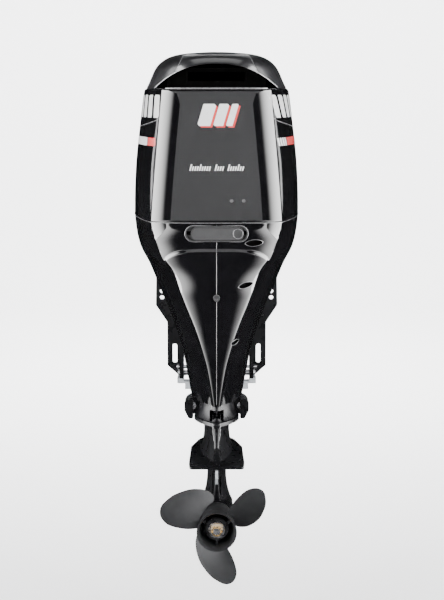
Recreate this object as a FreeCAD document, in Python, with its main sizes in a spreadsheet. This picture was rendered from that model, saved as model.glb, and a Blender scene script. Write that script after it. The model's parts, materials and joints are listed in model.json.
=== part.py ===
"""Outboard motor with power tilt, a four-stroke engine under a two-piece cowl.

Row frame, in millimetres: +X to starboard, +Y forward (towards the boat), +Z up. The origin is the
middle of the lower pair of upper transom bolt holes, on the plane of the transom's aft face (Y = 0).
"""
import FreeCAD
import Part
import Sketcher

import math
import os
from types import SimpleNamespace

V = FreeCAD.Vector
X_AXIS, Y_AXIS, Z_AXIS = V(1, 0, 0), V(0, 1, 0), V(0, 0, 1)
UPRIGHT = FreeCAD.Rotation()
ALONG_X = FreeCAD.Rotation(Y_AXIS, 90)
ALONG_Y = FreeCAD.Rotation(X_AXIS, -90)

# ---------------------------------------------------------------- driving dimensions
DIMENSIONS = {
    # transom and clamp brackets
    "bolt_half_span": 163.5, "bolt_hole_radius": 6.5, "bolt_row_pitch": 19, "seat_z": 95,
    "slot_x": 125.5, "slot_z": -170, "slot_length": 60,
    "flange_thickness": 12, "web_inner_x": 98, "web_thickness": 12, "web_aft_y": -58,
    # tilt axis, steering axis, drive line
    "tilt_y": 20, "tilt_z": 140, "tube_radius": 15, "tube_bore": 8, "boss_radius": 28,
    "steer_y": -95, "sleeve_radius": 32, "sleeve_top": 118, "sleeve_bottom": -192, "pivot_radius": 19,
    "mount_z": 132, "low_mount_z": -282,
    "drive_y": -210, "shaft_radius": 11, "prop_z": -588, "plate_z": -410,
    # tilt ram
    "ram_y": -26, "ram_foot_z": -225, "ram_eye_y": -20, "ram_eye_z": 80, "ram_radius": 20,
    # cowl
    "parting_z": 274, "cowl_half_width": 230, "cowl_rear_y": -530, "cowl_front_y": 230, "cowl_top": 722,
    "deck_z": 618, "skin": 4, "cover_bottom": -258, "band_bottom": 204, "apron_front_y": -158,
    # propeller
    "prop_radius": 165, "hub_rear_y": -440, "hub_front_y": -304, "hub_radius": 55.5, "prop_pitch": 432,
    # gears
    "pinion_teeth": 12, "gear_teeth": 29, "gear_reach": 34,
}
d = SimpleNamespace(**DIMENSIONS)

doc = FreeCAD.newDocument("outboard_motor")
sheet = doc.addObject("Spreadsheet::Sheet", "Dims")
for row, (alias, size) in enumerate(DIMENSIONS.items(), start=1):
    sheet.set(f"A{row}", alias)
    sheet.set(f"B{row}", str(size))
    sheet.setAlias(f"B{row}", alias)
doc.recompute()

sub_parts = []


# ---------------------------------------------------------------- helpers
def cells(expression):
    """The expression with each driving dimension's name turned into its cell."""
    text = str(expression)
    words = text.replace("(", "( ").replace(")", " )").split()
    return " ".join(f"Dims.{word}" if word in DIMENSIONS else word for word in words)


def bind(obj, **sizes):
    for name, expression in sizes.items():
        obj.setExpression(name, cells(expression))


def place(obj, at, rotation=UPRIGHT):
    obj.Placement = FreeCAD.Placement(V(0, 0, 0), rotation)
    for letter, expression in zip("xyz", at):
        obj.setExpression(f"Placement.Base.{letter}", cells(expression))


def cylinder(radius, height, at, rotation=UPRIGHT, angle=360):
    obj = doc.addObject("Part::Cylinder", "Cylinder")
    bind(obj, Radius=radius, Height=height, Angle=angle)
    place(obj, at, rotation)
    return obj


def box(length, width, height, at):
    obj = doc.addObject("Part::Box", "Box")
    bind(obj, Length=length, Width=width, Height=height)
    place(obj, at)
    return obj


def fuse(*pieces):
    obj = doc.addObject("Part::MultiFuse", "Fuse")
    obj.Shapes = list(pieces)
    return obj


def cut(base, *tools):
    obj = doc.addObject("Part::Cut", "Cut")
    obj.Base = base
    obj.Tool = tools[0] if len(tools) == 1 else fuse(*tools)
    return obj


def group(*pieces):
    """Separate identical pieces in one node."""
    obj = doc.addObject("Part::Compound", "Group")
    obj.Links = list(pieces)
    return obj


def free_form(shape):
    obj = doc.addObject("Part::Feature", "FreeForm")
    obj.Shape = shape
    return obj


def keep(label, obj):
    """Names a finished sub-part; its file takes this name."""
    obj.Label = label
    sub_parts.append(obj)
    return obj


def outline_body(name, plane, points, depth, offset="0", radius=0):
    """A PartDesign body: a closed outline of straight lines on an origin plane, padded both ways by depth."""
    body = doc.addObject("PartDesign::Body", name)
    origin = next(f for f in body.Origin.OriginFeatures if f.Role == plane)
    sketch = body.newObject("Sketcher::SketchObject", name + "Outline")
    sketch.AttachmentSupport = [(origin, "")]
    sketch.MapMode = "FlatFace"
    bind(sketch, **{"AttachmentOffset.Base.z": offset})
    corners = [V(a, b, 0) for a, b in points]
    for start, end in zip(corners, corners[1:] + corners[:1]):
        sketch.addGeometry(Part.LineSegment(start, end), False)
    for i in range(len(corners)):
        sketch.addConstraint(Sketcher.Constraint("Coincident", i, 2, (i + 1) % len(corners), 1))
    pad = body.newObject("PartDesign::Pad", name + "Pad")
    pad.Profile = sketch
    pad.Midplane = True
    bind(pad, Length=depth)
    doc.recompute()
    if radius:
        rounding = body.newObject("PartDesign::Fillet", name + "Fillet")
        rounding.Base = (pad, straight_edges(pad.Shape, plane))
        rounding.Radius = radius
        body.Tip = rounding
    return body


def straight_edges(shape, plane):
    """The edges along the pad's direction, by name."""
    way = {"XY_Plane": Z_AXIS, "XZ_Plane": Y_AXIS, "YZ_Plane": X_AXIS}[plane]
    names = []
    for i, edge in enumerate(shape.Edges, start=1):
        start, end = edge.Vertexes[0].Point, edge.Vertexes[-1].Point
        if (end - start).Length and abs((end - start).normalize().dot(way)) > 0.999:
            names.append(f"Edge{i}")
    return names


def spline(points):
    curve = Part.BSplineCurve()
    curve.interpolate([V(*p) for p in points])
    return curve.toShape()


def closed_spline(points):
    curve = Part.BSplineCurve()
    curve.interpolate([V(*p) for p in points], PeriodicFlag=True)
    return Part.Wire([curve.toShape()])


def loft(wires, ruled=False):
    return Part.makeLoft(wires, True, ruled)


# ---------------------------------------------------------------- clamp brackets (fixed to the transom)
def clamp_bracket(side):
    """One cast bracket: a web beside the swivel bracket, a flange on the transom, a hook and a tube boss."""
    web = outline_body(
        "Web", "YZ_Plane",
        [(-68, 44), (-68, -205), (-48, -240), (0, -240), (0, 95), (46, 95), (46, 107), (40, 128), (20, 166),
         (0, 160), (-30, 110)],
        "web_thickness", f"{side} * ( web_inner_x + web_thickness / 2 )", radius=3,
    )
    flange = outline_body(
        "Flange", "XZ_Plane",
        [(side * x, z) for x, z in
         [(98, 92), (180, 92), (182, -22), (148, -74), (148, -206), (112, -238), (98, -238)]],
        "flange_thickness", "flange_thickness / 2", radius=5,
    )
    hook = box(44, 46, "web_thickness", ("98" if side > 0 else "- 142", 0, "seat_z"))
    boss = cylinder("boss_radius", 26, ("98" if side > 0 else "- 124", "tilt_y", "tilt_z"), ALONG_X)
    ribs = [box(36, 30, 7, ("104" if side > 0 else "- 140", -36, z)) for z in (56, -58, -208)]
    tube_hole = cylinder("tube_radius", 60, ("80" if side > 0 else "- 140", "tilt_y", "tilt_z"), ALONG_X)
    holes = [
        cylinder("bolt_hole_radius", 40, (f"{side} * bolt_half_span", -20, f"{row} * bolt_row_pitch"), ALONG_Y)
        for row in range(3)
    ]
    slot_ends = [
        cylinder(7, 40, (f"{side} * slot_x", -20, f"slot_z + {way} * ( slot_length / 2 - 7 )"), ALONG_Y)
        for way in (-1, 1)
    ]
    slot = box(14, 40, "slot_length - 14", (f"{side} * slot_x - 7", -20, "slot_z - slot_length / 2 + 7"))
    pin_holes = [
        cylinder(5, 60, ("80" if side > 0 else "- 140", -55, z), ALONG_X) for z in (-202, -176, -150, -124)
    ]
    foot_hole = cylinder(9, 60, ("80" if side > 0 else "- 140", "ram_y", "ram_foot_z"), ALONG_X)
    solid = fuse(web, flange, hook, boss, *ribs)
    return cut(solid, tube_hole, *holes, *slot_ends, slot, *pin_holes, foot_hole)


def fixed_parts():
    keep("clamp_bracket_port", clamp_bracket(-1))
    keep("clamp_bracket_starboard", clamp_bracket(1))
    tube = cylinder("tube_radius", 308, (-154, "tilt_y", "tilt_z"), ALONG_X)
    keep("tilt_tube", cut(tube, cylinder("tube_bore", 320, (-160, "tilt_y", "tilt_z"), ALONG_X)))
    nuts = []
    for side in (-1, 1):
        start = "124" if side > 0 else "- 136"
        nut = doc.addObject("Part::Prism", "Nut")
        nut.Polygon = 6
        bind(nut, Circumradius=24, Height=12)
        place(nut, (start, "tilt_y", "tilt_z"), ALONG_X)
        nuts.append(cut(nut, cylinder("tube_radius", 20, (f"{start} - 4", "tilt_y", "tilt_z"), ALONG_X)))
    keep("tilt_tube_nuts", group(*nuts))
    foot_pin = cylinder(9, 232, (-116, "ram_y", "ram_foot_z"), ALONG_X)
    heads = [cylinder(13, 6, (x, "ram_y", "ram_foot_z"), ALONG_X) for x in (-116, 110)]
    keep("ram_foot_pin", fuse(foot_pin, *heads))
    stop = cylinder(5, 240, (-120, -55, -202), ALONG_X)
    keep("tilt_stop_pin", fuse(stop, cylinder(8, 5, (-118, -55, -202), ALONG_X)))
    anode = box(190, 30, 18, (-95, -40, -274))
    bar = fuse(box(236, 34, 6, (-118, -42, -256)), *[box(20, 34, 12, (x, -42, -252)) for x in (-118, 98)])
    keep("bracket_anode", cut(fuse(anode, bar), *[cylinder(4, 30, (x, -25, -280)) for x in (-70, 70)]))


# ---------------------------------------------------------------- tilt ram and its hydraulic unit
def tilt_ram():
    foot = cylinder("ram_radius", 60, (-30, "ram_y", "ram_foot_z"), ALONG_X)
    barrel = cylinder("ram_radius", 190, (0, "ram_y", "ram_foot_z"))
    cap = cylinder("ram_radius + 2", 14, (0, "ram_y", -45))
    bore = cylinder(13, 172, (0, "ram_y", -198))
    rod_hole = cylinder(9.4, 60, (0, "ram_y", -60))
    pin_hole = cylinder(9.4, 80, (-40, "ram_y", "ram_foot_z"), ALONG_X)
    manifold = box(150, 30, 34, (-75, -41, -203))
    tank = fuse(cylinder(20, 92, (62, "ram_y", -169)), cylinder(7, 10, (62, "ram_y", -77)))
    keep("ram_cylinder", cut(fuse(foot, barrel, cap, manifold, tank), bore, rod_hole, pin_hole))
    motor = fuse(cylinder(20, 104, (-62, "ram_y", -169)), cylinder(15, 8, (-62, "ram_y", -65)))
    keep("tilt_pump_motor", motor)
    rod = cylinder(9, 239, (0, "ram_y", -175))
    piston = cylinder(12.6, 16, (0, "ram_y", -190))
    eye = cylinder(20, 36, (-18, "ram_eye_y", "ram_eye_z"), ALONG_X)
    eye_hole = cylinder(15, 40, (-20, "ram_eye_y", "ram_eye_z"), ALONG_X)
    keep("ram_rod", cut(fuse(rod, piston, eye), eye_hole))


# ---------------------------------------------------------------- swivel bracket
def swivel_parts():
    sleeve = cylinder("sleeve_radius", "sleeve_top - sleeve_bottom", (0, "steer_y", "sleeve_bottom"))
    ears = [
        outline_body(
            "Ear", "YZ_Plane",
            [(-100, 116), (-100, 30), (-70, 10), (-46, 40), (-6, 60), (-3, 100), (26, 113), (48, 128), (48, 150), (30, 168),
             (8, 168), (-30, 124)],
            22, f"{side} * 48", radius=3,
        ) for side in (-1, 1)
    ]
    barrel = cylinder(27, 192, (-96, "tilt_y", "tilt_z"), ALONG_X)
    bridge = box(118, 42, 46, (-59, -102, 66))
    pad = box(60, 12, 40, (-30, -72, -188))
    pad_holder = cylinder(36, 40, (0, "steer_y", -188))
    tube_bore = cylinder("tube_radius + 3", 220, (-110, "tilt_y", "tilt_z"), ALONG_X)
    pivot_bore = cylinder("pivot_radius + 3", 340, (0, "steer_y", -210))
    ram_slot = box(42, 62, 110, (-21, -59, 30))
    eye_slot = cylinder(31, 44, (-22, "ram_eye_y", "ram_eye_z"), ALONG_X)
    eye_pin_hole = cylinder(6, 140, (-70, "ram_eye_y", "ram_eye_z"), ALONG_X)
    lever_pin = cylinder(5, 30, (-86, -30, 96), ALONG_X)
    keep("swivel_bracket", cut(
        fuse(sleeve, *ears, barrel, bridge, pad_holder, pad, lever_pin), tube_bore, pivot_bore, ram_slot, eye_slot,
        eye_pin_hole,
    ))
    keep("ram_eye_pin", cylinder(6, 122, (-61, "ram_eye_y", "ram_eye_z"), ALONG_X))
    bushes = []
    for start in (-97, 61):
        ring = cylinder("tube_radius + 3", 36, (start, "tilt_y", "tilt_z"), ALONG_X)
        hole = cylinder("tube_radius + 0.05", 50, (f"{start} - 5", "tilt_y", "tilt_z"), ALONG_X)
        bushes.append(cut(ring, hole))
    for start in (-192, 88):
        ring = cylinder("pivot_radius + 3", 30, (0, "steer_y", start))
        bushes.append(cut(ring, cylinder("pivot_radius + 0.05", 50, (0, "steer_y", f"{start} - 5"))))
    keep("swivel_bushes", group(*bushes))
    # support lever that holds the motor up when tilted, on the port ear
    lever = outline_body(
        "Lever", "YZ_Plane", [(-38, 88), (-22, 88), (-18, 60), (-24, 20), (-36, 20), (-40, 60)], 8, "-74", radius=3
    )
    hub = cylinder(12, 10, (-79, -30, 96), ALONG_X)
    knob = cylinder(6, 18, (-92, -30, 28), ALONG_X)
    keep("tilt_support_lever", cut(fuse(lever, hub, knob), cylinder(5.4, 40, (-95, -30, 96), ALONG_X)))


# ---------------------------------------------------------------- steering head and mounts (turn with the motor)
def steering_parts():
    pivot = cylinder("pivot_radius", 420, (0, "steer_y", -224))
    arm = outline_body(
        "Arm", "XY_Plane",
        [(-26, -122), (-32, -80), (-22, 120), (-16, 160), (16, 160), (22, 120), (32, -80), (26, -122)],
        18, 187, radius=5,
    )
    fork = outline_body(
        "Fork", "XY_Plane",
        [(-30, -72), (-80, -148), (-80, -186.5), (-44, -186.5), (-36, -140), (36, -140), (44, -186.5),
         (80, -186.5), (80, -148), (30, -72)],
        24, "mount_z", radius=4,
    )
    collar = cylinder(30, 66.5, (0, "steer_y", 120.5))
    arm_socket = cylinder("pivot_radius", 9, (0, "steer_y", 187))
    link_hole = cylinder(5, 40, (0, 146, 170))
    fork_holes = [cylinder(7, 40, (x, -190, "mount_z"), ALONG_Y) for x in (-62, 62)]
    arm = cut(arm, arm_socket, link_hole)
    keep("steering_bracket", group(arm, cut(fuse(fork, collar, pivot), *fork_holes)))
    yoke = outline_body(
        "Yoke", "XY_Plane",
        [(-26, -70), (-38, -92), (-64, -150), (-64, -176), (-44, -176), (-34, -136), (34, -136), (44, -176),
         (64, -176), (64, -150), (38, -92), (26, -70)],
        22, -212, radius=4,
    )
    yoke_hole = cylinder("pivot_radius", 60, (0, "steer_y", -240))
    keep("lower_mount_yoke", cut(yoke, yoke_hole))
    mounts, bolts = [], []
    for x in (-62, 62):
        rubber = cylinder(15, 46, (x, -234, "mount_z"), ALONG_Y)
        mounts.append(cut(rubber, cylinder(7, 60, (x, -240, "mount_z"), ALONG_Y)))
        shank = cylinder(7, 84, (x, -252, "mount_z"), ALONG_Y)
        bolts.append(fuse(shank, cylinder(12, 8, (x, -252, "mount_z"), ALONG_Y)))
    for x in (-69, 69):
        rubber = cylinder(16, 40, (x, -206, "low_mount_z"), ALONG_Y)
        mounts.append(cut(rubber, cylinder(6, 60, (x, -216, "low_mount_z"), ALONG_Y)))
        shank = cylinder(6, 62, (x, -214, "low_mount_z"), ALONG_Y)
        bolts.append(fuse(shank, cylinder(10, 7, (x, -221, "low_mount_z"), ALONG_Y)))
    keep("rubber_mounts", group(*mounts))
    keep("mount_bolts", group(*bolts))


def streamlined(half_width, nose_y, tail_y, z, widest=0.38, tail_half=3.0):
    """A foil-like plan outline: round nose at nose_y (forward), a narrow tail at tail_y (aft)."""
    length = nose_y - tail_y
    points = []
    for i in range(1, 16):
        share = (1 - math.cos(math.pi * i / 16)) / 2
        if share < widest:
            width = half_width * math.sqrt(1 - ((widest - share) / widest) ** 2)
        else:
            fall = (share - widest) / (1 - widest)
            width = tail_half + (half_width - tail_half) * (1 - fall ** 2.0)
        points.append((width, nose_y - share * length))
    right = [(0, nose_y, z)] + [(x, y, z) for x, y in points] + [(0, tail_y - 1, z)]
    left = [(-x, y, z) for x, y in reversed(points)]
    return closed_spline(right + left)


def leg_parts():
    """The drive shaft housing: from the engine's seat down to the gearcase, with the rubber mounts' bosses."""
    levels = [(150, 96, -148, -372, 20), (60, 66, -150, -352, 14), (-80, 52, -150, -338, 10),
              (-200, 50, -150, -330, 9), (-262, 51, -150, -300, 5), (-318, 64, -152, -334, 9)]
    outer = loft([streamlined(w, nose, tail, z, 0.38, t) for z, w, nose, tail, t in levels])
    inner = loft([streamlined(w - 7, nose - 8, tail + 14, z, 0.38, 3)
                  for z, w, nose, tail, _ in [(152,) + levels[0][1:]] + levels[1:-1] + [(-319,) + levels[-1][1:]]])
    shaft_tube = free_form(outer.cut(inner))
    floor = free_form(streamlined_plate(64, -154, -334, -318, 10, 0.38, 8))
    head = free_form(streamlined_plate(112, -130, -400, 138, 14, 0.45, 60))
    bosses = [cylinder(23, 70, (x, -226, -282.5), ALONG_Y) for x in (-69, 69)]
    upper_bosses = [cylinder(19.5, 56, (x, -243.5, "mount_z"), ALONG_Y) for x in (-62, 62)]
    upper_pockets = [cylinder(15, 48, (x, -234.2, "mount_z"), ALONG_Y) for x in (-62, 62)]
    upper_ways = [cylinder(7.2, 40, (x, -260, "mount_z"), ALONG_Y) for x in (-62, 62)]
    upper_room = [cylinder(13, 12, (x, -255.5, "mount_z"), ALONG_Y) for x in (-62, 62)]
    fork_slot = box(176, 90, 28, (-88, -187, 118))
    mount_holes = [cylinder(16, 42, (x, -207, -282), ALONG_Y) for x in (-69, 69)]
    head_holes = [cylinder(11, 60, (x, -260, -282), ALONG_Y) for x in (-69, 69)]
    bolt_ways = [cylinder(6.2, 60, (x, -180, -282), ALONG_Y) for x in (-69, 69)]
    drive_hole = cylinder(16, 700, (0, "drive_y", -420))
    shift_hole = cylinder(8, 120, (0, -172, -400))
    exhaust = box(40, 60, 80, (-20, -308, -360))
    exhaust_top = box(60, 80, 60, (-30, -350, 120))
    solid = fuse(shaft_tube, floor, head, *bosses, *upper_bosses)
    keep("drive_shaft_housing", cut(
        solid, drive_hole, *mount_holes, *head_holes, *bolt_ways, shift_hole, exhaust, exhaust_top,
        *upper_pockets, *upper_ways, *upper_room, fork_slot,
    ))
    caps = []
    for side in (-1, 1):
        cap = outline_body(
            "MountCap", "XZ_Plane",
            [(side * x, z) for x, z in [(67, -260), (86, -260), (92, -268), (92, -290), (80, -314), (67, -314)]],
            10, 242, radius=4,
        )
        caps.append(cap)
    keep("lower_mount_caps", group(*caps))


def streamlined_plate(half_width, nose_y, tail_y, z, thickness, widest, tail_half):
    face = Part.Face(streamlined(half_width, nose_y, tail_y, z, widest, tail_half))
    return face.extrude(V(0, 0, thickness))


# ---------------------------------------------------------------- gearcase
def gearcase_parts():
    upper = loft([
        streamlined(36, -118, -352, -318.2, 0.34, 7), streamlined(36, -112, -352, -352, 0.34, 6),
        streamlined(40, -104, -366, -388, 0.34, 5), streamlined(52, -96, -392, -412, 0.34, 5),
    ])
    lower = loft([
        streamlined(34, -100, -380, -404, 0.34, 4), streamlined(28, -112, -330, -432, 0.36, 4),
        streamlined(27, -122, -314, -480, 0.38, 4), streamlined(32, -124, -301, -530, 0.4, 8),
        streamlined(46, -112, -299, -572, 0.42, 20),
    ])
    nose = [(0, 0), (8, 1), (22, 8), (34, 22), (42, 42), (47, 72), (48, 110), (48, 160), (47, 190), (0, 190)]
    bullet_wire = Part.makePolygon([V(r, 0, h) for r, h in nose] + [V(0, 0, 0)])
    bullet = Part.Face(bullet_wire).revolve(V(0, 0, 0), Z_AXIS, 360)
    bullet.Placement = FreeCAD.Placement(V(0, -112, d.prop_z), FreeCAD.Rotation(X_AXIS, 90))
    plate = outline_body(
        "Plate", "XY_Plane",
        [(-20, -66), (20, -66), (52, -120), (74, -207), (77, -380), (74, -429), (-74, -429), (-77, -380), (-74, -207),
         (-52, -120)],
        6, "plate_z", radius=8,
    )
    skeg = outline_body(
        "Skeg", "YZ_Plane",
        [(-150, -620), (-176, -660), (-214, -728), (-236, -753), (-296, -753), (-304, -740), (-292, -690),
         (-282, -640), (-286, -620)],
        9, 0, radius=0,
    )
    tail = outline_body(
        "Tail", "XZ_Plane", [(-10, -412), (10, -412), (8, -380), (5, -372), (-5, -372), (-8, -380)], 60, 380, radius=2,
    )
    solid = fuse(free_form(upper), free_form(lower), free_form(bullet), plate, skeg, tail)
    gear_room = cylinder(42, 141.5, (0, -303, "prop_z"), ALONG_Y)
    nose_room = cylinder(12, 24, (0, -168, "prop_z"), ALONG_Y)
    shaft_way = cylinder(15, 300, (0, "drive_y", -600))
    pump_room = cylinder(33.2, 60, (0, "drive_y", -352.2))
    shift_way = cylinder(5.5, 300, (0, -168, -546))
    exhaust = box(24, 50, 320, (-12, -298, -620))
    intake = box(140, 34, 26, (-70, -170, -470))
    tab_hole = cylinder(5.4, 60, (0, -392, -440))
    keep("gearcase", cut(solid, gear_room, nose_room, shaft_way, pump_room, shift_way, exhaust, intake, tab_hole))
    grilles = []
    for side in (-1, 1):
        frame = box(3, 33, 25, (26 if side > 0 else -29, -169.5, -469.5))
        slots = [box(8, 26, 2.4, (23 if side > 0 else -31, -166, -466 + 5 * i)) for i in range(4)]
        grilles.append(cut(frame, *slots))
    keep("water_intake_grilles", group(*grilles))
    tab_disc = cylinder(16, 5, (0, -392, -418.3))
    fin = outline_body(
        "Fin", "YZ_Plane",
        [(-382, -416), (-435, -416), (-439, -436), (-436, -454), (-424, -448), (-420, -424), (-412, -421),
         (-384, -421)],
        7, 0, radius=1.5,
    )
    tab_shank = cylinder(5, 26, (0, -392, -416))
    keep("trim_tab", fuse(tab_disc, fin, tab_shank))
    pump = cut(fuse(cylinder(29, 33.6, (0, "drive_y", -352)), cylinder(33, 5, (0, "drive_y", -352))),
               cylinder(24, 22, (0, "drive_y", -346)), cylinder(11.4, 60, (0, "drive_y", -370)))
    keep("water_pump_housing", pump)
    carrier = cylinder(41.9, 32, (0, -300, "prop_z"), ALONG_Y)
    carrier_hole = cylinder(10.4, 60, (0, -310, "prop_z"), ALONG_Y)
    ports = [cylinder(8, 60, (29 * math.cos(a), -310, -588 + 29 * math.sin(a)), ALONG_Y)
             for a in (0.79, 2.36, 3.93, 5.50)]
    keep("bearing_carrier", cut(carrier, carrier_hole, *ports))


# ---------------------------------------------------------------- gears, shafts and the propeller
def bevel_gear(teeth, mate, reach, tip_share, root_share, back):
    """A straight bevel gear with its apex at the origin and its axis on +Z; every flank runs through the apex."""
    cone_angle = math.atan2(teeth, mate)
    outer = reach / math.sin(math.atan2(d.gear_teeth, d.pinion_teeth))
    inner = outer - 11
    addendum, dedendum = math.atan(1.7 / outer), math.atan(2.7 / outer)
    pitch = 2 * math.pi / teeth

    def star(height):
        tip = height * math.tan(cone_angle + addendum)
        root = height * math.tan(cone_angle - dedendum)
        corners = []
        for i in range(teeth):
            middle = i * pitch
            for radius, share in ((root, -root_share), (tip, -tip_share), (tip, tip_share), (root, root_share)):
                angle = middle + share * pitch
                corners.append(V(radius * math.cos(angle), radius * math.sin(angle), height))
        return Part.makePolygon(corners + corners[:1])

    near = inner * math.cos(cone_angle + addendum) * 0.7
    far = outer * math.cos(cone_angle - dedendum) * 1.25
    teeth_cone = Part.makeLoft([star(near), star(far)], True, True)
    # the blank: bounded by the inner and outer cones, square to the pitch cone, and a hub behind
    out_r, out_h = outer * math.sin(cone_angle), outer * math.cos(cone_angle)
    in_r, in_h = inner * math.sin(cone_angle), inner * math.cos(cone_angle)
    along_r, along_h = math.cos(cone_angle), -math.sin(cone_angle)
    reach_up, reach_down = 4.0, 6.0
    blank = Part.makePolygon([
        V(0, 0, in_h - along_h * reach_down), V(in_r - along_r * reach_down, 0, in_h - along_h * reach_down),
        V(in_r + along_r * reach_up, 0, in_h + along_h * reach_up),
        V(out_r + along_r * reach_up, 0, out_h + along_h * reach_up),
        V(out_r - along_r * reach_down, 0, out_h - along_h * reach_down),
        V(0, 0, out_h - along_h * reach_down), V(0, 0, in_h - along_h * reach_down),
    ])
    body = Part.Face(blank).revolve(V(0, 0, 0), Z_AXIS, 360)
    gear = teeth_cone.common(body)
    rim = out_r - along_r * 3.2
    plate = Part.makeCylinder(rim, back, V(0, 0, out_h - along_h * 3.2))
    return gear, plate, out_h - along_h * 3.2 + back


def gear_parts():
    half_gap = 180 / d.gear_teeth
    reach = d.gear_reach
    tooth_ring, plate, top = bevel_gear(d.pinion_teeth, d.gear_teeth, reach, 0.10, 0.245, 7)
    bore = Part.makeCylinder(6, 90, V(0, 0, 0))
    pinion = tooth_ring.fuse(plate).cut(bore)
    pinion.rotate(V(0, 0, 0), Z_AXIS, 90)
    pinion.translate(V(0, d.drive_y, d.prop_z))
    keep("pinion_gear", free_form(pinion))
    tooth_ring, plate, top = bevel_gear(d.gear_teeth, d.pinion_teeth, reach, 0.10, 0.235, 6)
    hub = Part.makeCylinder(20, 22, V(0, 0, top - 0.5))
    disc = tooth_ring.fuse(plate).fuse(hub)
    disc = disc.cut(Part.makeCylinder(10.6, 80, V(0, 0, 0)))
    disc.rotate(V(0, 0, 0), Z_AXIS, -90 + half_gap)
    for name, turn in (("forward_gear", -90), ("reverse_gear", 90)):
        gear = disc.copy()
        if turn > 0:
            gear.rotate(V(0, 0, 0), Z_AXIS, 180)
        gear.rotate(V(0, 0, 0), X_AXIS, turn)
        gear.translate(V(0, d.drive_y, d.prop_z))
        keep(name, free_form(gear))
    races = []
    for start in (-178, -254):
        race = cylinder(41.9, 14, (0, start, "prop_z"), ALONG_Y)
        races.append(cut(race, cylinder(20.4, 30, (0, f"{start} - 5", "prop_z"), ALONG_Y)))
    keep("gear_bearings", group(*races))
    shaft = cylinder(10, 286, (0, -434, "prop_z"), ALONG_Y)
    collar = cylinder(14, 7, (0, -265, "prop_z"), ALONG_Y)
    keep("propeller_shaft", fuse(shaft, collar))
    dog = cylinder(17, 8, (0, "drive_y - 4", "prop_z"), ALONG_Y)
    notches = [box(7, 3, 9, (x, y, z)) for y in (-215, -208) for x, z in ((-3.5, -575.5), (-3.5, -609.5))]
    keep("clutch_dog", cut(dog, cylinder(10.05, 20, (0, "drive_y - 10", "prop_z"), ALONG_Y), *notches))
    rod = cylinder(4, 656, (0, -168, -542))
    lever = outline_body("ShiftLever", "XY_Plane", [(-8, -160), (8, -160), (6, -190), (-6, -190)], 6, 116, radius=3)
    keep("shift_rod", fuse(rod, lever))
    impeller = fuse(cylinder(15, 18, (0, "drive_y", -344)), *[
        vane for vane in impeller_vanes(6)
    ])
    keep("pump_impeller", cut(impeller, cylinder("shaft_radius", 60, (0, "drive_y", -360))))
    shaft_top = cylinder("shaft_radius", 734, (0, "drive_y", -544))
    keep("drive_shaft", fuse(shaft_top, cylinder(6, 24, (0, "drive_y", -566))))


def impeller_vanes(count):
    vanes = []
    for i in range(count):
        vane = box(9, 4, 16, (0, "drive_y", -343))
        turn = FreeCAD.Rotation(Z_AXIS, 360 * i / count)
        start = turn.multVec(V(14, -2, 0))
        vane.Placement = FreeCAD.Placement(V(start.x, d.drive_y + start.y, -343), turn)
        vane.setExpression("Placement.Base.x", None)
        vane.setExpression("Placement.Base.y", None)
        vanes.append(vane)
    return vanes


def blade():
    """One propeller blade pointing down, in the propeller's frame: x to starboard, y aft, z down the span."""
    stations = [  # span, leading x, trailing x, half thickness
        (34, -46, 14, 5.5), (52, -58, 28, 4.8), (76, -60, 42, 4.0), (100, -54, 51, 3.2), (122, -42, 55.5, 2.5),
        (140, -26, 53, 2.0), (152, -11, 47, 1.6), (160, 6, 38, 1.3), (164, 17, 29, 1.0),
    ]
    wires = []
    for span, lead, trail, thick in stations:
        def at(x, lift):
            turn = math.atan2(x, span)
            aft = d.prop_pitch / (2 * math.pi) * turn + 0.10 * (span - 50)
            slope = math.atan(d.prop_pitch / (2 * math.pi * math.hypot(x, span)))
            return V(x - lift * math.sin(slope), aft + lift * math.cos(slope), span)
        middle = (lead + trail) / 2
        face = Part.Arc(at(lead, 0), at(middle, thick * 0.2), at(trail, 0)).toShape()
        back = Part.Arc(at(trail, 0), at(middle - 4, -thick * 1.8), at(lead, 0)).toShape()
        wires.append(Part.Wire([face, back]))
    return loft(wires)


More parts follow.
